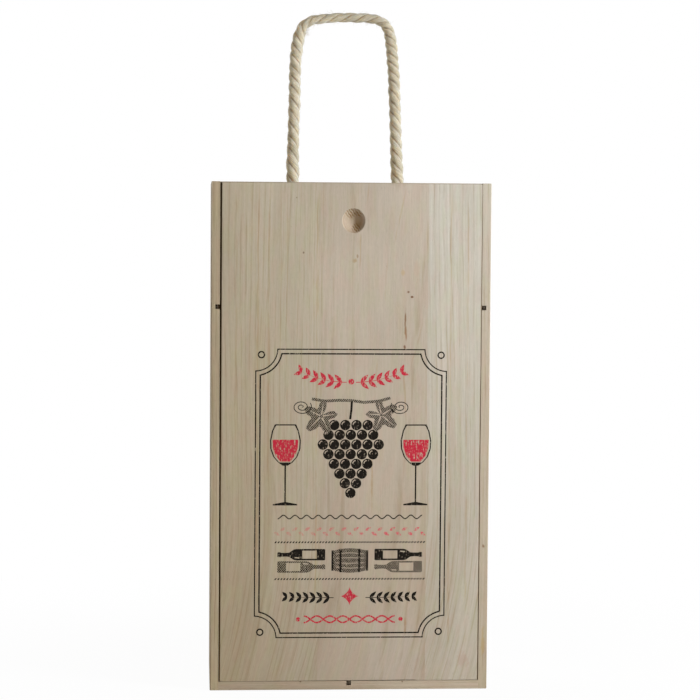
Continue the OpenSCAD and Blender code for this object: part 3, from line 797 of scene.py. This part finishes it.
# Painted shade: the tint that darkens the slots' walls and the plates' ends in them
SLOT_PAINTED_SHADE = (0.13, 0.085, 0.045)
lid_board = Board("Z", "X", 0.0, (197, 186, 167), (168, 151, 124), strips=LID_STRIPS, lines=LID_LINES,
                  marks=LID_MARKS, fade=LID_FADE, flare=LID_FLARE,
                  # Painted shade on the lid's sides and at its tongue, in the gaps
                  painted_shade=(((-90.0, -46.4, 0), (1.1, 2.4, UNLIMITED), LID_SIDE_PAINTED_SHADE),
                        ((90.0, -46.4, 0), (0.9, 2.4, UNLIMITED), LID_SIDE_PAINTED_SHADE),
                        ((-89.5, TONGUE_FRONT_Y, 0), (0.65, 0.9, UNLIMITED), CORNER_LEFT_PAINTED_SHADE),
                        ((89.9, TONGUE_FRONT_Y, 0), (0.45, 0.9, UNLIMITED), CORNER_RIGHT_PAINTED_SHADE)))
BOARDS = {
    "left_side_panel": Board(
        "Z", "Y", 1.0, (188, 173, 146), (146, 126, 98), ring=2.2,
        # Painted shade in the gap beside the lid and in the slot
        painted_shade=(((-89.8, -46.0, 0), (0.5, 2.75, UNLIMITED), GAP_PAINTED_SHADE),
              ((-91.5, -49, 264.5), (1.45, 12, 1.45), SLOT_PAINTED_SHADE)),
        strips=((UNLIMITED, -60, -300, 0.01, 1.8, EVEN),),
        fade=(((("X", -94.6, -95.9),), (0.93, 0.95, 1.02)),
              # Painted highlight along the rail's inner arris, beside the gap
              ((("X", -91.5, -90.9), ("Z", 30, 80)), (1.10, 1.13, 1.16)))),
    "right_side_panel": Board(
        "Z", "Y", 2.0, (201, 191, 175), (169, 153, 130), ring=2.2,
        # Painted shade in the gap beside the lid and in the slot
        painted_shade=(((89.8, -46.0, 0), (0.5, 2.75, UNLIMITED), GAP_PAINTED_SHADE),
              ((91.5, -49, 264.5), (1.45, 12, 1.45), SLOT_PAINTED_SHADE)),
        strips=((UNLIMITED, -60, 300, 0.01, 1.3, EVEN),),
        # Painted shade and light: darker towards the bottom, paler at the top
        fade=(((("Z", 300, 40),), (0.92, 0.885, 0.83)), ((("Z", 220, 335),), (1.05, 1.09, 1.13))),
        marks=(((92.6, -49, 99.6), (1.3, 2.5, 1.8), (128, 96, 66), 0.85),
               ((93.0, -49, 32.0), (1.6, 2.5, 13.0), (176, 148, 100), 0.6))),
    "bottom_end_panel": Board(
        "X", "Y", 3.0, (188, 173, 152), (156, 137, 112), ring=1.6,
        strips=((UNLIMITED, -60, -200, 0.01, 1.7, EVEN),),
        # Painted shade in the slot
        painted_shade=(((0, -49, 4.5), (1.45, 12, 1.45), SLOT_PAINTED_SHADE),),
        # Painted light: paler towards the right, where the light is stronger
        fade=(((("X", -60, 40),), (1.09, 1.12, 1.15)),),
        marks=(((-33.5, -49, 5.8), (0.8, 2.5, 0.7), (112, 92, 68), 0.95),
               ((37.2, -49, 5.2), (0.8, 2.5, 0.7), (112, 92, 68), 0.95))),
    "top_end_panel": Board("X", "Y", 4.0, strips=((UNLIMITED, 12, 395, 0.03, 0.9, EVEN),)),
    "back_panel": Board(
        "Z", "X", 5.0,
        strips=((-30.0, -150, 80, 0.02, 1.0, EVEN), (38.0, 5, 100, 0.04, 0.9, (0.97, 0.97, 0.96)),
                (UNLIMITED, 150, 80, 0.0, 1.2, (1.02, 1.03, 1.05)))),
    "bottle_divider": Board(
        "Z", "Y", 6.0, (206, 194, 170), (180, 162, 130), plies=0.0,
        # Painted shade at the divider's end in the slot
        painted_shade=(((0, -45, 4), (2, 6, 1.9), SLOT_PAINTED_SHADE),),
        strips=((UNLIMITED, -120, 20, 0.03, 0.8, EVEN),)),
    "neck_rest": Board(
        "X", "Y", 7.0, (206, 194, 170), (180, 162, 130), plies=264.5,
        # Painted shade at the plate's ends in the slots
        painted_shade=(((-92, -45, 264.5), (1.9, 6, 2), SLOT_PAINTED_SHADE), ((92, -45, 264.5), (1.9, 6, 2), SLOT_PAINTED_SHADE)),
        strips=((UNLIMITED, -80, 300, 0.03, 0.8, EVEN),)),
}
# The scoop's darkness on its vertices: torn fibres, and painted shade
TORN_AND_SHADE = "torn"
lid_look = wood("lid_wood", lid_board, torn=TORN_AND_SHADE)
for node, board in BOARDS.items():
    materials = nodes[node].data.materials
    materials.clear()
    materials.append(wood(node + "_wood", board, shine=WOOD_SHINE if board.plies is None else PLATE_SHINE))


# Printed design
# A generic design of grapes, leaves, glasses, bottles and a barrel.
# A shape is (ink, outlines): a point is inked where an odd number of its outlines hold it.

BLACK, HATCHED, RED, PALE_RED = 1, 2, 3, 4
PRINT_X, PRINT_LOW, PRINT_HIGH = 0.5, 36.0, 236.0
FRAME_HALF, FRAME_CORNER = 66.0, 15.0
shapes = []


def draw(ink_index, *outlines):
    shapes.append((ink_index, outlines))


def moved(points, x, z, turn, size=1.0):
    """The points (along, aside), sized, turned and set at x, z."""
    c, s = math.cos(turn) * size, math.sin(turn) * size
    return [(x + u * c - v * s, z + u * s + v * c) for u, v in points]


def disc(x, z, r, n=20):
    turns = [2 * math.pi * i / n for i in range(n)]
    return [(x + r * math.cos(a), z + r * math.sin(a)) for a in turns]


def stroke(points, width, taper=False):
    """A line of that width through the points, as one outline."""
    left, right = [], []
    last = len(points) - 1
    for i, (x, z) in enumerate(points):
        ax, az = points[max(i - 1, 0)]
        bx, bz = points[min(i + 1, last)]
        long = math.hypot(bx - ax, bz - az) or 1.0
        half = width / 2 * (1.0 if not taper else max(0.12, 1 - (i / last) ** 1.5))
        nx, nz = -(bz - az) / long * half, (bx - ax) / long * half
        left.append((x + nx, z + nz))
        right.append((x - nx, z - nz))
    return left + right[::-1]


def leaf(x, z, length, width, turn, n=9):
    """A plain pointed leaf from its stalk end."""
    side = [(length * i / n, width / 2 * math.sin(math.pi * (i / n) ** 0.8)) for i in range(n + 1)]
    return moved(side + [(u, -v) for u, v in side[-2:0:-1]], x, z, turn)


def vine_leaf(x, z, r, turn):
    """A leaf with five lobes and saw teeth, and its veins."""
    outline, veins = [], []
    for i in range(150):
        a = 2 * math.pi * i / 150
        lobes = 0.70 + 0.24 * math.cos(5 * a) + 0.10 * math.cos(a)
        teeth = 0.055 * (1 - abs(((a * 24 / (2 * math.pi)) % 1) * 2 - 1))
        notch = 0.55 * math.exp(-((a - math.pi) / 0.16) ** 2)
        far = r * max(0.16, lobes + teeth - notch)
        outline.append((x + far * math.cos(a + turn), z + far * math.sin(a + turn)))
    for k in range(-2, 3):
        a = 2 * math.pi * k / 5
        reach = (0.80 if k else 0.92) * r
        spine = [(x + f * reach * math.cos(a + turn), z + f * reach * math.sin(a + turn))
                 for f in (0.1, 0.325, 0.55, 0.775, 1)]
        veins.append(stroke(spine, 0.075 * r, taper=True))
    return [outline, *veins]


def framed(inset):
    """The frame with hollow corners, moved inwards by inset."""
    half, radius = FRAME_HALF - inset, FRAME_CORNER + inset
    low, high = PRINT_LOW + inset, PRINT_HIGH - inset
    line = []
    corners = ((FRAME_HALF, PRINT_HIGH, 270), (-FRAME_HALF, PRINT_HIGH, 360),
               (-FRAME_HALF, PRINT_LOW, 90), (FRAME_HALF, PRINT_LOW, 180))
    for corner_x, corner_z, first in corners:
        for i in range(15):
            a = math.radians(first - 90 * i / 14)
            x, z = corner_x + radius * math.cos(a), corner_z + radius * math.sin(a)
            line.append((PRINT_X + max(-half, min(half, x)), max(low, min(high, z))))
    return line


def bottle(x, z, height, turn):
    half = [(0, 0.105), (0.02, 0.12), (0.60, 0.12), (0.66, 0.108), (0.71, 0.075), (0.75, 0.047), (0.80, 0.04),
            (0.93, 0.04), (0.935, 0.052), (0.985, 0.052), (1.0, 0.04)]
    line = half + [(u, -v) for u, v in reversed(half)]
    label = [(0.18, 0.085), (0.48, 0.085), (0.48, -0.085), (0.18, -0.085)]
    gleam = [(0.54, 0.082), (0.64, 0.072), (0.64, 0.05), (0.54, 0.056)]
    return [moved(part, x, z, turn, height) for part in (line, label, gleam)]


def barrel(x, z, length, width):
    """A lying barrel with gaps between its staves, and four hoops."""
    def side(share, n=10):
        half = share * width / 2
        return [(x + length * (i / n - 0.5), z + half * (0.80 + 0.20 * math.sin(math.pi * i / n)))
                for i in range(n + 1)]
    outline = side(1) + side(-1)[::-1]
    gaps = [stroke(side(share)[1:-1], 0.5) for share in (-0.62, -0.22, 0.22, 0.62)]
    draw(HATCHED, outline, *gaps)
    for at in (-0.5, -0.27, 0.27, 0.5):
        bulge = 0.80 + 0.20 * math.sin(math.pi * (at + 0.5))
        high = width / 2 * bulge + 0.25
        hoop_x = x + at * length
        corners = ((-0.7, -high), (0.7, -high), (0.7, high), (-0.7, high))
        draw(BLACK, [(hoop_x + u, z + v) for u, v in corners])


def glass(x, z, height):
    """A wine glass: its outline, and the wine in it."""
    profile = [(1.0, 0.13), (0.92, 0.165), (0.80, 0.19), (0.70, 0.185), (0.60, 0.15), (0.53, 0.09),
               (0.49, 0.03)]
    wall = 0.9
    outer = [(x - height * w, z + height * h) for h, w in profile]
    outer += [(x + height * w, z + height * h) for h, w in reversed(profile)]
    inner = [(x - height * w + wall, z + height * h) for h, w in profile[:-1]]
    inner += [(x + height * w - wall, z + height * h) for h, w in reversed(profile[:-1])]
    inner = [(u, min(v, z + height * 0.985)) for u, v in inner]
    low = [(h, w) for h, w in profile if h <= 0.80]
    wine = [(x - height * w + 1.8, z + height * h + 0.6) for h, w in low[:-1]]
    wine += [(x + height * w - 1.8, z + height * h + 0.6) for h, w in reversed(low[:-1])]
    stem = [(x - 0.55, z + height * 0.505), (x + 0.55, z + height * 0.505), (x + 0.5, z + 2.4),
            (x + height * 0.15, z + 0.9), (x + height * 0.15, z), (x - height * 0.15, z),
            (x - height * 0.15, z + 0.9), (x - 0.5, z + 2.4)]
    draw(BLACK, outer, inner)
    draw(BLACK, stem)
    draw(RED, wine)


def sprig(x, z, reach, rise, leaves, ink_index, size):
    """A curved stem with pairs of leaves, running from x to x + reach."""
    stem = [(x + reach * i / 16, z + rise * (i / 16) ** 2) for i in range(17)]
    draw(ink_index, stroke(stem, 0.55, taper=True))
    for k in range(leaves):
        f = (k + 0.6) / leaves
        ax, az = x + reach * f, z + rise * f * f
        slope = math.atan2(2 * rise * f, abs(reach))
        for tip in (1, -1):
            turn = slope + tip * 0.75
            if reach < 0:
                turn = math.pi - turn
            draw(ink_index, leaf(ax, az, size * (1 - 0.25 * f), size * 0.36, turn))


def design():
    cx = PRINT_X
    for outer, inner in ((0.0, 0.8), (3.0, 4.0)):
        draw(BLACK, framed(outer), framed(inner))
    for sx in (-1, 1):
        for z in (PRINT_LOW + 4.2, PRINT_HIGH - 4.2):
            draw(BLACK, disc(cx + sx * 61.8, z, 2.6), disc(cx + sx * 61.8, z, 1.6))
    for sx in (-1, 1):
        sprig(cx + sx * 3.2, 213.0, sx * 33, 8.0, 6, RED, 7.6)
    draw(RED, disc(cx, 213.4, 2.0))

    for row, count in enumerate((4, 5, 6, 5, 4, 3, 2, 1)):
        for k in range(count):
            x, z = cx + 7.7 * (k - (count - 1) / 2), 183.5 - 6.7 * row
            shine = [(x - 2.1 * math.cos(a), z + 2.1 * math.sin(a)) for a in np.linspace(0.0, 1.5, 7)]
            shine += [(x - 2.75 * math.cos(a), z + 2.75 * math.sin(a)) for a in np.linspace(1.3, 0.2, 6)]
            draw(BLACK, disc(x, z, 3.65), shine)
    cane = ((-27, 201.5), (-18, 200.0), (-8, 200.6), (0, 200.4), (9, 199.2), (19, 200.0), (27, 202.2))
    draw(HATCHED, stroke([(cx + x, z) for x, z in cane], 2.0))
    draw(BLACK, stroke([(cx + 0.5, 200.0), (cx + 0.2, 194.0), (cx - 0.6, 187.5)], 1.5))
    draw(HATCHED, *vine_leaf(cx - 20.5, 189.5, 12.5, math.radians(225)))
    draw(HATCHED, *vine_leaf(cx + 21.0, 190.5, 12.0, math.radians(-40)))
    for sx in (-1, 1):
        curl = []
        for i in range(34):
            a, r = 0.42 * i + 2.6, 7.0 * (1 - i / 36)
            curl.append((cx + sx * (34.0 + r * math.cos(a)), 196.0 + 0.75 * r * math.sin(a)))
        draw(BLACK, stroke(curl, 0.6))
        glass(cx + sx * 45.0, 128.0, 56.0)

    wave = [(cx + x, 120.0 + 1.25 * math.sin(x * math.pi / 4.0)) for x in np.arange(-50, 50.5, 0.5)]
    draw(BLACK, stroke(wave, 0.75))
    for k in range(-12, 13):
        up = 1 if k % 2 else -1
        draw(PALE_RED, leaf(cx + 4.2 * k - 2.0, 110.0 + 0.5 * up, 4.6, 2.0, 0.55 * up))
    for z in (102.5, 77.0):
        for k in range(-25, 26):
            x = cx + 2.05 * k
            draw(BLACK, [(x - 0.95, z - 0.6), (x + 0.15, z - 0.6), (x + 0.95, z + 0.6), (x - 0.15, z + 0.6)])
    barrel(cx, 89.8, 24.0, 17.0)
    for sx in (-1, 1):
        draw(BLACK, *bottle(cx + sx * 17.0, 93.9, 33.0, 0.0 if sx > 0 else math.pi))
        draw(HATCHED, *bottle(cx + sx * 50.0, 85.4, 33.0, math.pi if sx > 0 else 0.0))

    star = []
    for i in range(40):
        points = (math.cos(2 * math.pi * i / 40), math.sin(2 * math.pi * i / 40))
        u, v = (6.4 * math.copysign(abs(p) ** 3, p) for p in points)
        star.append((cx + u, 65.0 + v))
    draw(RED, star)
    for sx in (-1, 1):
        sprig(cx + sx * 11.0, 64.0, sx * 34, 0.8, 7, BLACK, 6.4)
    for phase in (0, math.pi):
        ribbon = [(cx + x, 49.0 + 2.3 * math.sin(x * math.pi / 9.0 + phase))
                  for x in np.arange(-31.5, 32, 0.75)]
        draw(RED, stroke(ribbon, 1.1))
    for sx in (-1, 1):
        draw(RED, disc(cx + sx * 35.5, 49.0, 1.5))


design()


# Lid

FRONT_Y = -49.0
LID_TOP_Z = 349.5
LID_LEAN = 0.4
# How far the face's edges stand off the solid's, to match the photographed gaps
FOOT_DOWN = 0.18
RIGHT_OUT = 0.34
LEFT_BOW = 0.15
EDGE_CUTS = 110
# The arris loses up to CHIP everywhere, and some BIG_CHIP at that share of its points
CHIP, BIG_CHIP, BIG_CHIP_SHARE = 0.16, (0.2, 0.55), 0.035
SIDES_INDEX = 5
SCOOP_X, SCOOP_Z, SCOOP_R, SCOOP_DEPTH = 1.25, 323.8, 8.2, 4.5
SCOOP_BALL = (SCOOP_R ** 2 + SCOOP_DEPTH ** 2) / (2 * SCOOP_DEPTH)
SCOOP_WIDE, SCOOP_HIGH = 7.95, 8.4
RIM, BOWL_RINGS = 240, 24
# Where the cutter has torn the fibres: across, up, reach and strength, from the scoop's middle
TEARS = ((-2.2, 6.0, 4.6, 1.0), (1.8, -5.2, 3.7, 1.0), (3.6, 5.6, 3.2, 0.7))
TEAR_PITCH, TEAR_DEPTH = 1.65, 0.45
# Round the rim the face has a ring of small triangles, this much larger than the scoop
COLLAR = 1.05


def inside(outline, points):
    """Which points lie inside the outline, by counting crossings."""
    poly = np.asarray(outline, float)
    low, high = poly.min(0), poly.max(0)
    near = np.nonzero(((points >= low) & (points <= high)).all(1))[0]
    hit = np.zeros(len(points), bool)
    if not len(near):
        return hit
    x, z = points[near, 0], points[near, 1]
    odd = np.zeros(len(near), bool)
    for (x0, z0), (x1, z1) in zip(poly, np.roll(poly, -1, axis=0)):
        if z0 != z1:
            crosses = ((z0 > z) != (z1 > z)) & (x < (x1 - x0) * (z - z0) / (z1 - z0) + x0)
            odd ^= crosses
    hit[near] = odd
    return hit


def tear(x, z):
    """How torn the scoop is at a point beside its middle, from 0 to 1. The tears slant down to the right."""
    across = 0.79 * x + 0.62 * z + 0.22 * math.sin(1.7 * x - 1.1 * z)
    groove = max(0.0, math.sin(2 * math.pi * across / TEAR_PITCH)) ** 1.5
    near = max(s * max(0.0, 1 - (math.hypot(x - cx, z - cz) / r) ** 2) for cx, cz, r, s in TEARS)
    return groove * min(1.0, 1.6 * near)


def scoop_rim():
    """The scoop's edge, a little higher than wide, and broken where the tears reach it."""
    rim = []
    for i in range(RIM):
        a = 2 * math.pi * i / RIM
        x, z = SCOOP_WIDE * math.cos(a), SCOOP_HIGH * math.sin(a)
        low_right = max(0.0, math.cos(a + 1.0)) ** 4
        share = (1 + 0.055 * tear(x, z) + 0.055 * low_right
                 + 0.004 * math.sin(7 * a) + 0.003 * math.sin(23 * a))
        rim.append((SCOOP_X + share * x, SCOOP_Z + share * z))
    return rim


def bowl(x, z, share):
    """The scoop's depth under the face, and how dark it is there: torn fibres, and painted shade over the
    bowl, most on its right wall.
    """
    r = min(SCOOP_R * math.hypot(x / SCOOP_WIDE, z / SCOOP_HIGH), SCOOP_R)
    deep = math.sqrt(SCOOP_BALL ** 2 - r * r) - (SCOOP_BALL - SCOOP_DEPTH)
    inner = min(1.0, share * 6) * min(1.0, (1 - share) * 5)
    torn = tear(x, z)
    fine = math.sin(x * 9.0 + 2.0 * math.sin(z * 0.7)) * math.sin(x * 4.1 + 1.3) * math.sin(z * 1.3 + x)
    cutter = 0.03 * math.sin(r * 7.0)
    right = min(1.0, max(0.0, (x + 0.9) / 2.6))
    olive = right * min(1.0, max(0.0, (share - 0.04) / 0.22))
    # Painted shade: the bowl is darker and warmer all over, most on its right wall and below its right rim
    painted_bowl_shade = 0.20 + 0.40 * olive + 0.16 * right * max(0.0, 1 - math.hypot(x - 3.2, z + 2.2) / 3.4)
    painted_bowl_shade += 0.34 * math.exp(-((x + 1.7) / 1.2) ** 2 - ((z - 3.1) / 2.6) ** 2)
    return deep + inner * (TEAR_DEPTH * torn + 0.08 * fine + cutter), min(1.0, painted_bowl_shade + 0.72 * torn)


def open_front(bm):
    """Takes the solid's front face and scoop away, and returns the loop of vertices round the front."""
    # The photographed gap on the right is a little tighter than the solid's
    for v in bm.verts:
        if 89.0 < v.co.x < 90.0:
            v.co.x += RIGHT_OUT
    middle = Vector((SCOOP_X, FRONT_Y + SCOOP_DEPTH - SCOOP_BALL, SCOOP_Z))
    old = [f for f in bm.faces if all(v.co.y < FRONT_Y + 0.001 for v in f.verts)
           or all((v.co - middle).length < SCOOP_BALL + 0.1 for v in f.verts)]
    bmesh.ops.delete(bm, geom=old, context="FACES")
    for f in bm.faces:
        at = f.calc_center_median()
        f.material_index = SIDES_INDEX if abs(at.x) > 88 or at.z < 8 else 0
    bmesh.ops.subdivide_edges(bm, edges=[e for e in bm.edges if e.is_boundary], cuts=EDGE_CUTS)
    edge = [e for e in bm.edges if e.is_boundary]
    links = {}
    for e in edge:
        for a, b in (e.verts, reversed(e.verts)):
            links.setdefault(a, []).append(b)
    start = edge[0].verts[0]
    ring, before = [start], None
    while True:
        ahead = [v for v in links[ring[-1]] if v is not before]
        before = ring[-1]
        if ahead[0] is start:
            return ring
        ring.append(ahead[0])


def chip_edge(ring):
    """Makes the arris a little uneven, and chipped here and there.

    The photographed gap on the left, where the panel is bowed, is a little wider at mid height.
    """
    rng = random.Random(5)
    centre_x = sum(v.co.x for v in ring) / len(ring)
    xs, zs = [v.co.x for v in ring], [v.co.z for v in ring]
    left, right, low, high = min(xs), max(xs), min(zs), max(zs)
    for v in ring:
        chip = rng.uniform(0.0, CHIP) + (rng.uniform(*BIG_CHIP) if rng.random() < BIG_CHIP_SHARE else 0.0)
        on_side = min(abs(v.co.x - left), abs(v.co.x - right)) < 0.01
        on_end = min(abs(v.co.z - low), abs(v.co.z - high)) < 0.01
        if on_side and not on_end:
            up = v.co.z / LID_TOP_Z
            v.co.x += chip + LEFT_BOW * 4 * up * (1 - up) if v.co.x < centre_x else -chip
        elif on_end and not on_side:
            v.co.z += chip * 0.6 - FOOT_DOWN if v.co.z < 100 else -chip


def fill_front(bm, ring):
    """The face round the scoop, cut along every outline of the design. Returns the scoop's rim."""
    outline = [(v.co.x, v.co.z) for v in ring]
    rim = [tuple(Vector(p)) for p in scoop_rim()]
    collar = [(SCOOP_X + COLLAR * (x - SCOOP_X), SCOOP_Z + COLLAR * (z - SCOOP_Z)) for x, z in rim[::3]]
    loops = [outline, rim, collar] + [o for _, outlines in shapes for o in outlines]
    points, edges = [], []
    for line in loops:
        first = len(points)
        points += [Vector(p) for p in line]
        edges += [(first + i, first + (i + 1) % len(line)) for i in range(len(line))]
    corners, _, triangles, *_ = delaunay_2d_cdt(points, edges, [], 0, 1e-5, False)
    flat = np.array([tuple(c) for c in corners])
    tri = np.array([tuple(t) for t in triangles])
    middles = flat[tri].mean(axis=1)
    keep = inside(outline, middles) & ~inside(rim, middles)
    look = np.zeros(len(tri), int)
    for ink_index, outlines in shapes:
        odd = np.zeros(len(tri), bool)
        for o in outlines:
            odd ^= inside(o, middles)
        look[odd] = ink_index

    known = {(round(v.co.x, 4), round(v.co.z, 4)): v for v in ring}

    def vertex(x, z):
        key = (round(x, 4), round(z, 4))
        if key not in known:
            known[key] = bm.verts.new((x, FRONT_Y, z))
        return known[key]

    for t, kept, index in zip(tri, keep, look):
        if kept:
            corners3 = [vertex(*flat[c]) for c in t]
            if len(set(corners3)) == 3:
                face = bm.faces.new(corners3)
                face.material_index = int(index)
    return rim, [vertex(*p) for p in rim]


def fill_scoop(bm, rim, rim_ring):
    """The scoop's bowl, with how dark it is on its vertices, and a sharp rim."""
    dark = bm.verts.layers.float[TORN_AND_SHADE]
    outer = rim_ring
    for k in range(1, BOWL_RINGS + 1):
        share = k / BOWL_RINGS
        if k < BOWL_RINGS:
            inner = []
            for x, z in rim:
                u, w = (x - SCOOP_X) * (1 - share), (z - SCOOP_Z) * (1 - share)
                deep, darkness = bowl(u, w, share)
                inner.append(bm.verts.new((SCOOP_X + u, FRONT_Y + deep, SCOOP_Z + w)))
                inner[-1][dark] = darkness
        else:
            inner = [bm.verts.new((SCOOP_X, FRONT_Y + SCOOP_DEPTH, SCOOP_Z))] * RIM
        for i in range(RIM):
            j = (i + 1) % RIM
            corners4 = [outer[i], outer[j], inner[j], inner[i]]
            face = bm.faces.new(corners4 if k < BOWL_RINGS else corners4[:3])
            face.smooth = True
        outer = inner
    for a, b in zip(rim_ring, rim_ring[1:] + rim_ring[:1]):
        e = bm.edges.get((a, b))
        if e:
            e.smooth = False


def make_lid():
    bm = bmesh.new()
    bm.from_mesh(nodes["sliding_lid"].data)
    bm.verts.layers.float.new(TORN_AND_SHADE)
    bm.transform(Matrix.Scale(1 / MM, 4))
    bmesh.ops.remove_doubles(bm, verts=bm.verts, dist=0.001)
    ring = open_front(bm)
    chip_edge(ring)
    fill_scoop(bm, *fill_front(bm, ring))
    bmesh.ops.recalc_face_normals(bm, faces=bm.faces)
    # The lid leans in its play, with its foot to the left
    for v in bm.verts:
        v.co.x -= LID_LEAN * (1 - v.co.z / LID_TOP_Z)
    bm.transform(Matrix.Scale(MM, 4))
    mesh = bpy.data.meshes.new("printed_lid")
    bm.to_mesh(mesh)
    bm.free()
    for look in (lid_look,
                 ink("black_ink", lid_board, (27, 23, 19), 0.68),
                 ink("hatched_ink", lid_board, (27, 24, 20), 0.66, hatch=True),
                 ink("red_ink", lid_board, (192, 46, 64), 0.60),
                 ink("pale_red_ink", lid_board, (208, 86, 98), 0.52, fade=(-60, 50, 0.35)),
                 wood("lid_sides", lid_board, shine=SIDES_SHINE)):
        mesh.materials.append(look)
    lid = show("printed_lid", mesh)
    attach(lid, "lid")
    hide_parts("sliding_lid")


make_lid()


def steel(name):
    tree = Tree(name)
    x, y, z = place(tree)
    scratch = tree.noise(tree.point(x, tree.times(y, 6.0), z), 3, scale=2.0)
    spot = tree.noise(tree.point(x, y, z), scale=1.1)
    colour = tree.mix(tree.between(scratch, 0.3, 0.7), linear(150, 147, 142), linear(112, 108, 102))
    colour = tree.mix(tree.between(spot, 0.56, 0.7, 0.0, 0.5), colour, linear(122, 84, 56))
    rough = tree.between(scratch, 0.3, 0.7, 0.3, 0.5)
    return tree.principled({"Base Color": colour, "Roughness": rough, "Metallic": 0.9,
                            "Normal": tree.bump(scratch, 0.02)})


steel_look = steel("brad_steel")
for node in ("left_side_brads", "right_side_brads", "back_brads"):
    nodes[node].data.materials.clear()
    nodes[node].data.materials.append(steel_look)


# Floor, backdrop and light

WHITE = (1, 1, 1, 1)
# Around the box the floor gives up a little of its white to the shadow, between these distances
SHADOW_REACH = (120, 520)
# Metres from here on
FLOOR_HALF, FLOOR_DROP = 6.0, 0.0003
# name, place, size, power, colour
LAMPS = (
    ("key", (0.86, -0.58, 0.60), 0.40, 11.9, (0.97, 0.985, 1.0)),
    ("fill", (-0.9, -1.6, 0.6), 1.4, 3.4, (1.0, 0.95, 0.87)),
    ("rear", (-0.9, 1.3, 0.9), 1.0, 16.0, (1.0, 0.98, 0.95)),
)
LAMPS_AIM = (0.0, 0.0, 0.2)


def seen_share(tree):
    """1 where the eye, a reflection or a clear body looks, 0 where light falls."""
    path = tree.add("LightPath").outputs
    return tree.larger(*(path[f"Is {kind} Ray"] for kind in ("Camera", "Glossy", "Transmission")))


def white_floor():
    tree = Tree("pale_floor")
    x, y, _ = place(tree)
    far = tree.root(tree.sum(tree.times(x, x), tree.times(y, y)))
    lit = tree.add("BsdfDiffuse", {"Color": (0.86, 0.86, 0.86, 1)}).outputs[0]
    glow = tree.add("Emission", {"Color": WHITE, "Strength": 1.0}).outputs[0]
    share = tree.times(seen_share(tree), tree.between(far, *SHADOW_REACH, 0.96, 1.0))
    return tree.finish(tree.add("MixShader", {0: share, 1: lit, 2: glow}).outputs[0])


def make_stage():
    bm = bmesh.new()
    bmesh.ops.create_grid(bm, x_segments=8, y_segments=8, size=FLOOR_HALF)
    mesh = bpy.data.meshes.new("floor")
    bm.to_mesh(mesh)
    bm.free()
    mesh.materials.append(white_floor())
    floor = show("floor", mesh)
    floor.location.z = -FLOOR_DROP


def area_lamp(name, at, size, power, colour):
    data = bpy.data.lights.new(name, "AREA")
    data.shape = "DISK"
    data.size = size
    data.energy = power
    data.color = colour
    lamp = show(name, data)
    lamp.location = at
    lamp.rotation_euler = (Vector(LAMPS_AIM) - Vector(at)).to_track_quat("-Z", "Y").to_euler()


def make_world():
    tree = Tree("studio", bpy.data.worlds)
    soft = tree.add("Background", {"Color": (1.0, 0.97, 0.92, 1), "Strength": 0.17}).outputs[0]
    white = tree.add("Background", {"Color": WHITE, "Strength": 1.0}).outputs[0]
    mixed = tree.add("MixShader", {0: seen_share(tree), 1: soft, 2: white}).outputs[0]
    bpy.context.scene.world = tree.finish(mixed, "OutputWorld")


make_stage()
make_world()
for lamp in LAMPS:
    area_lamp(*lamp)

view = bpy.context.scene.view_settings
view.view_transform = "Standard"
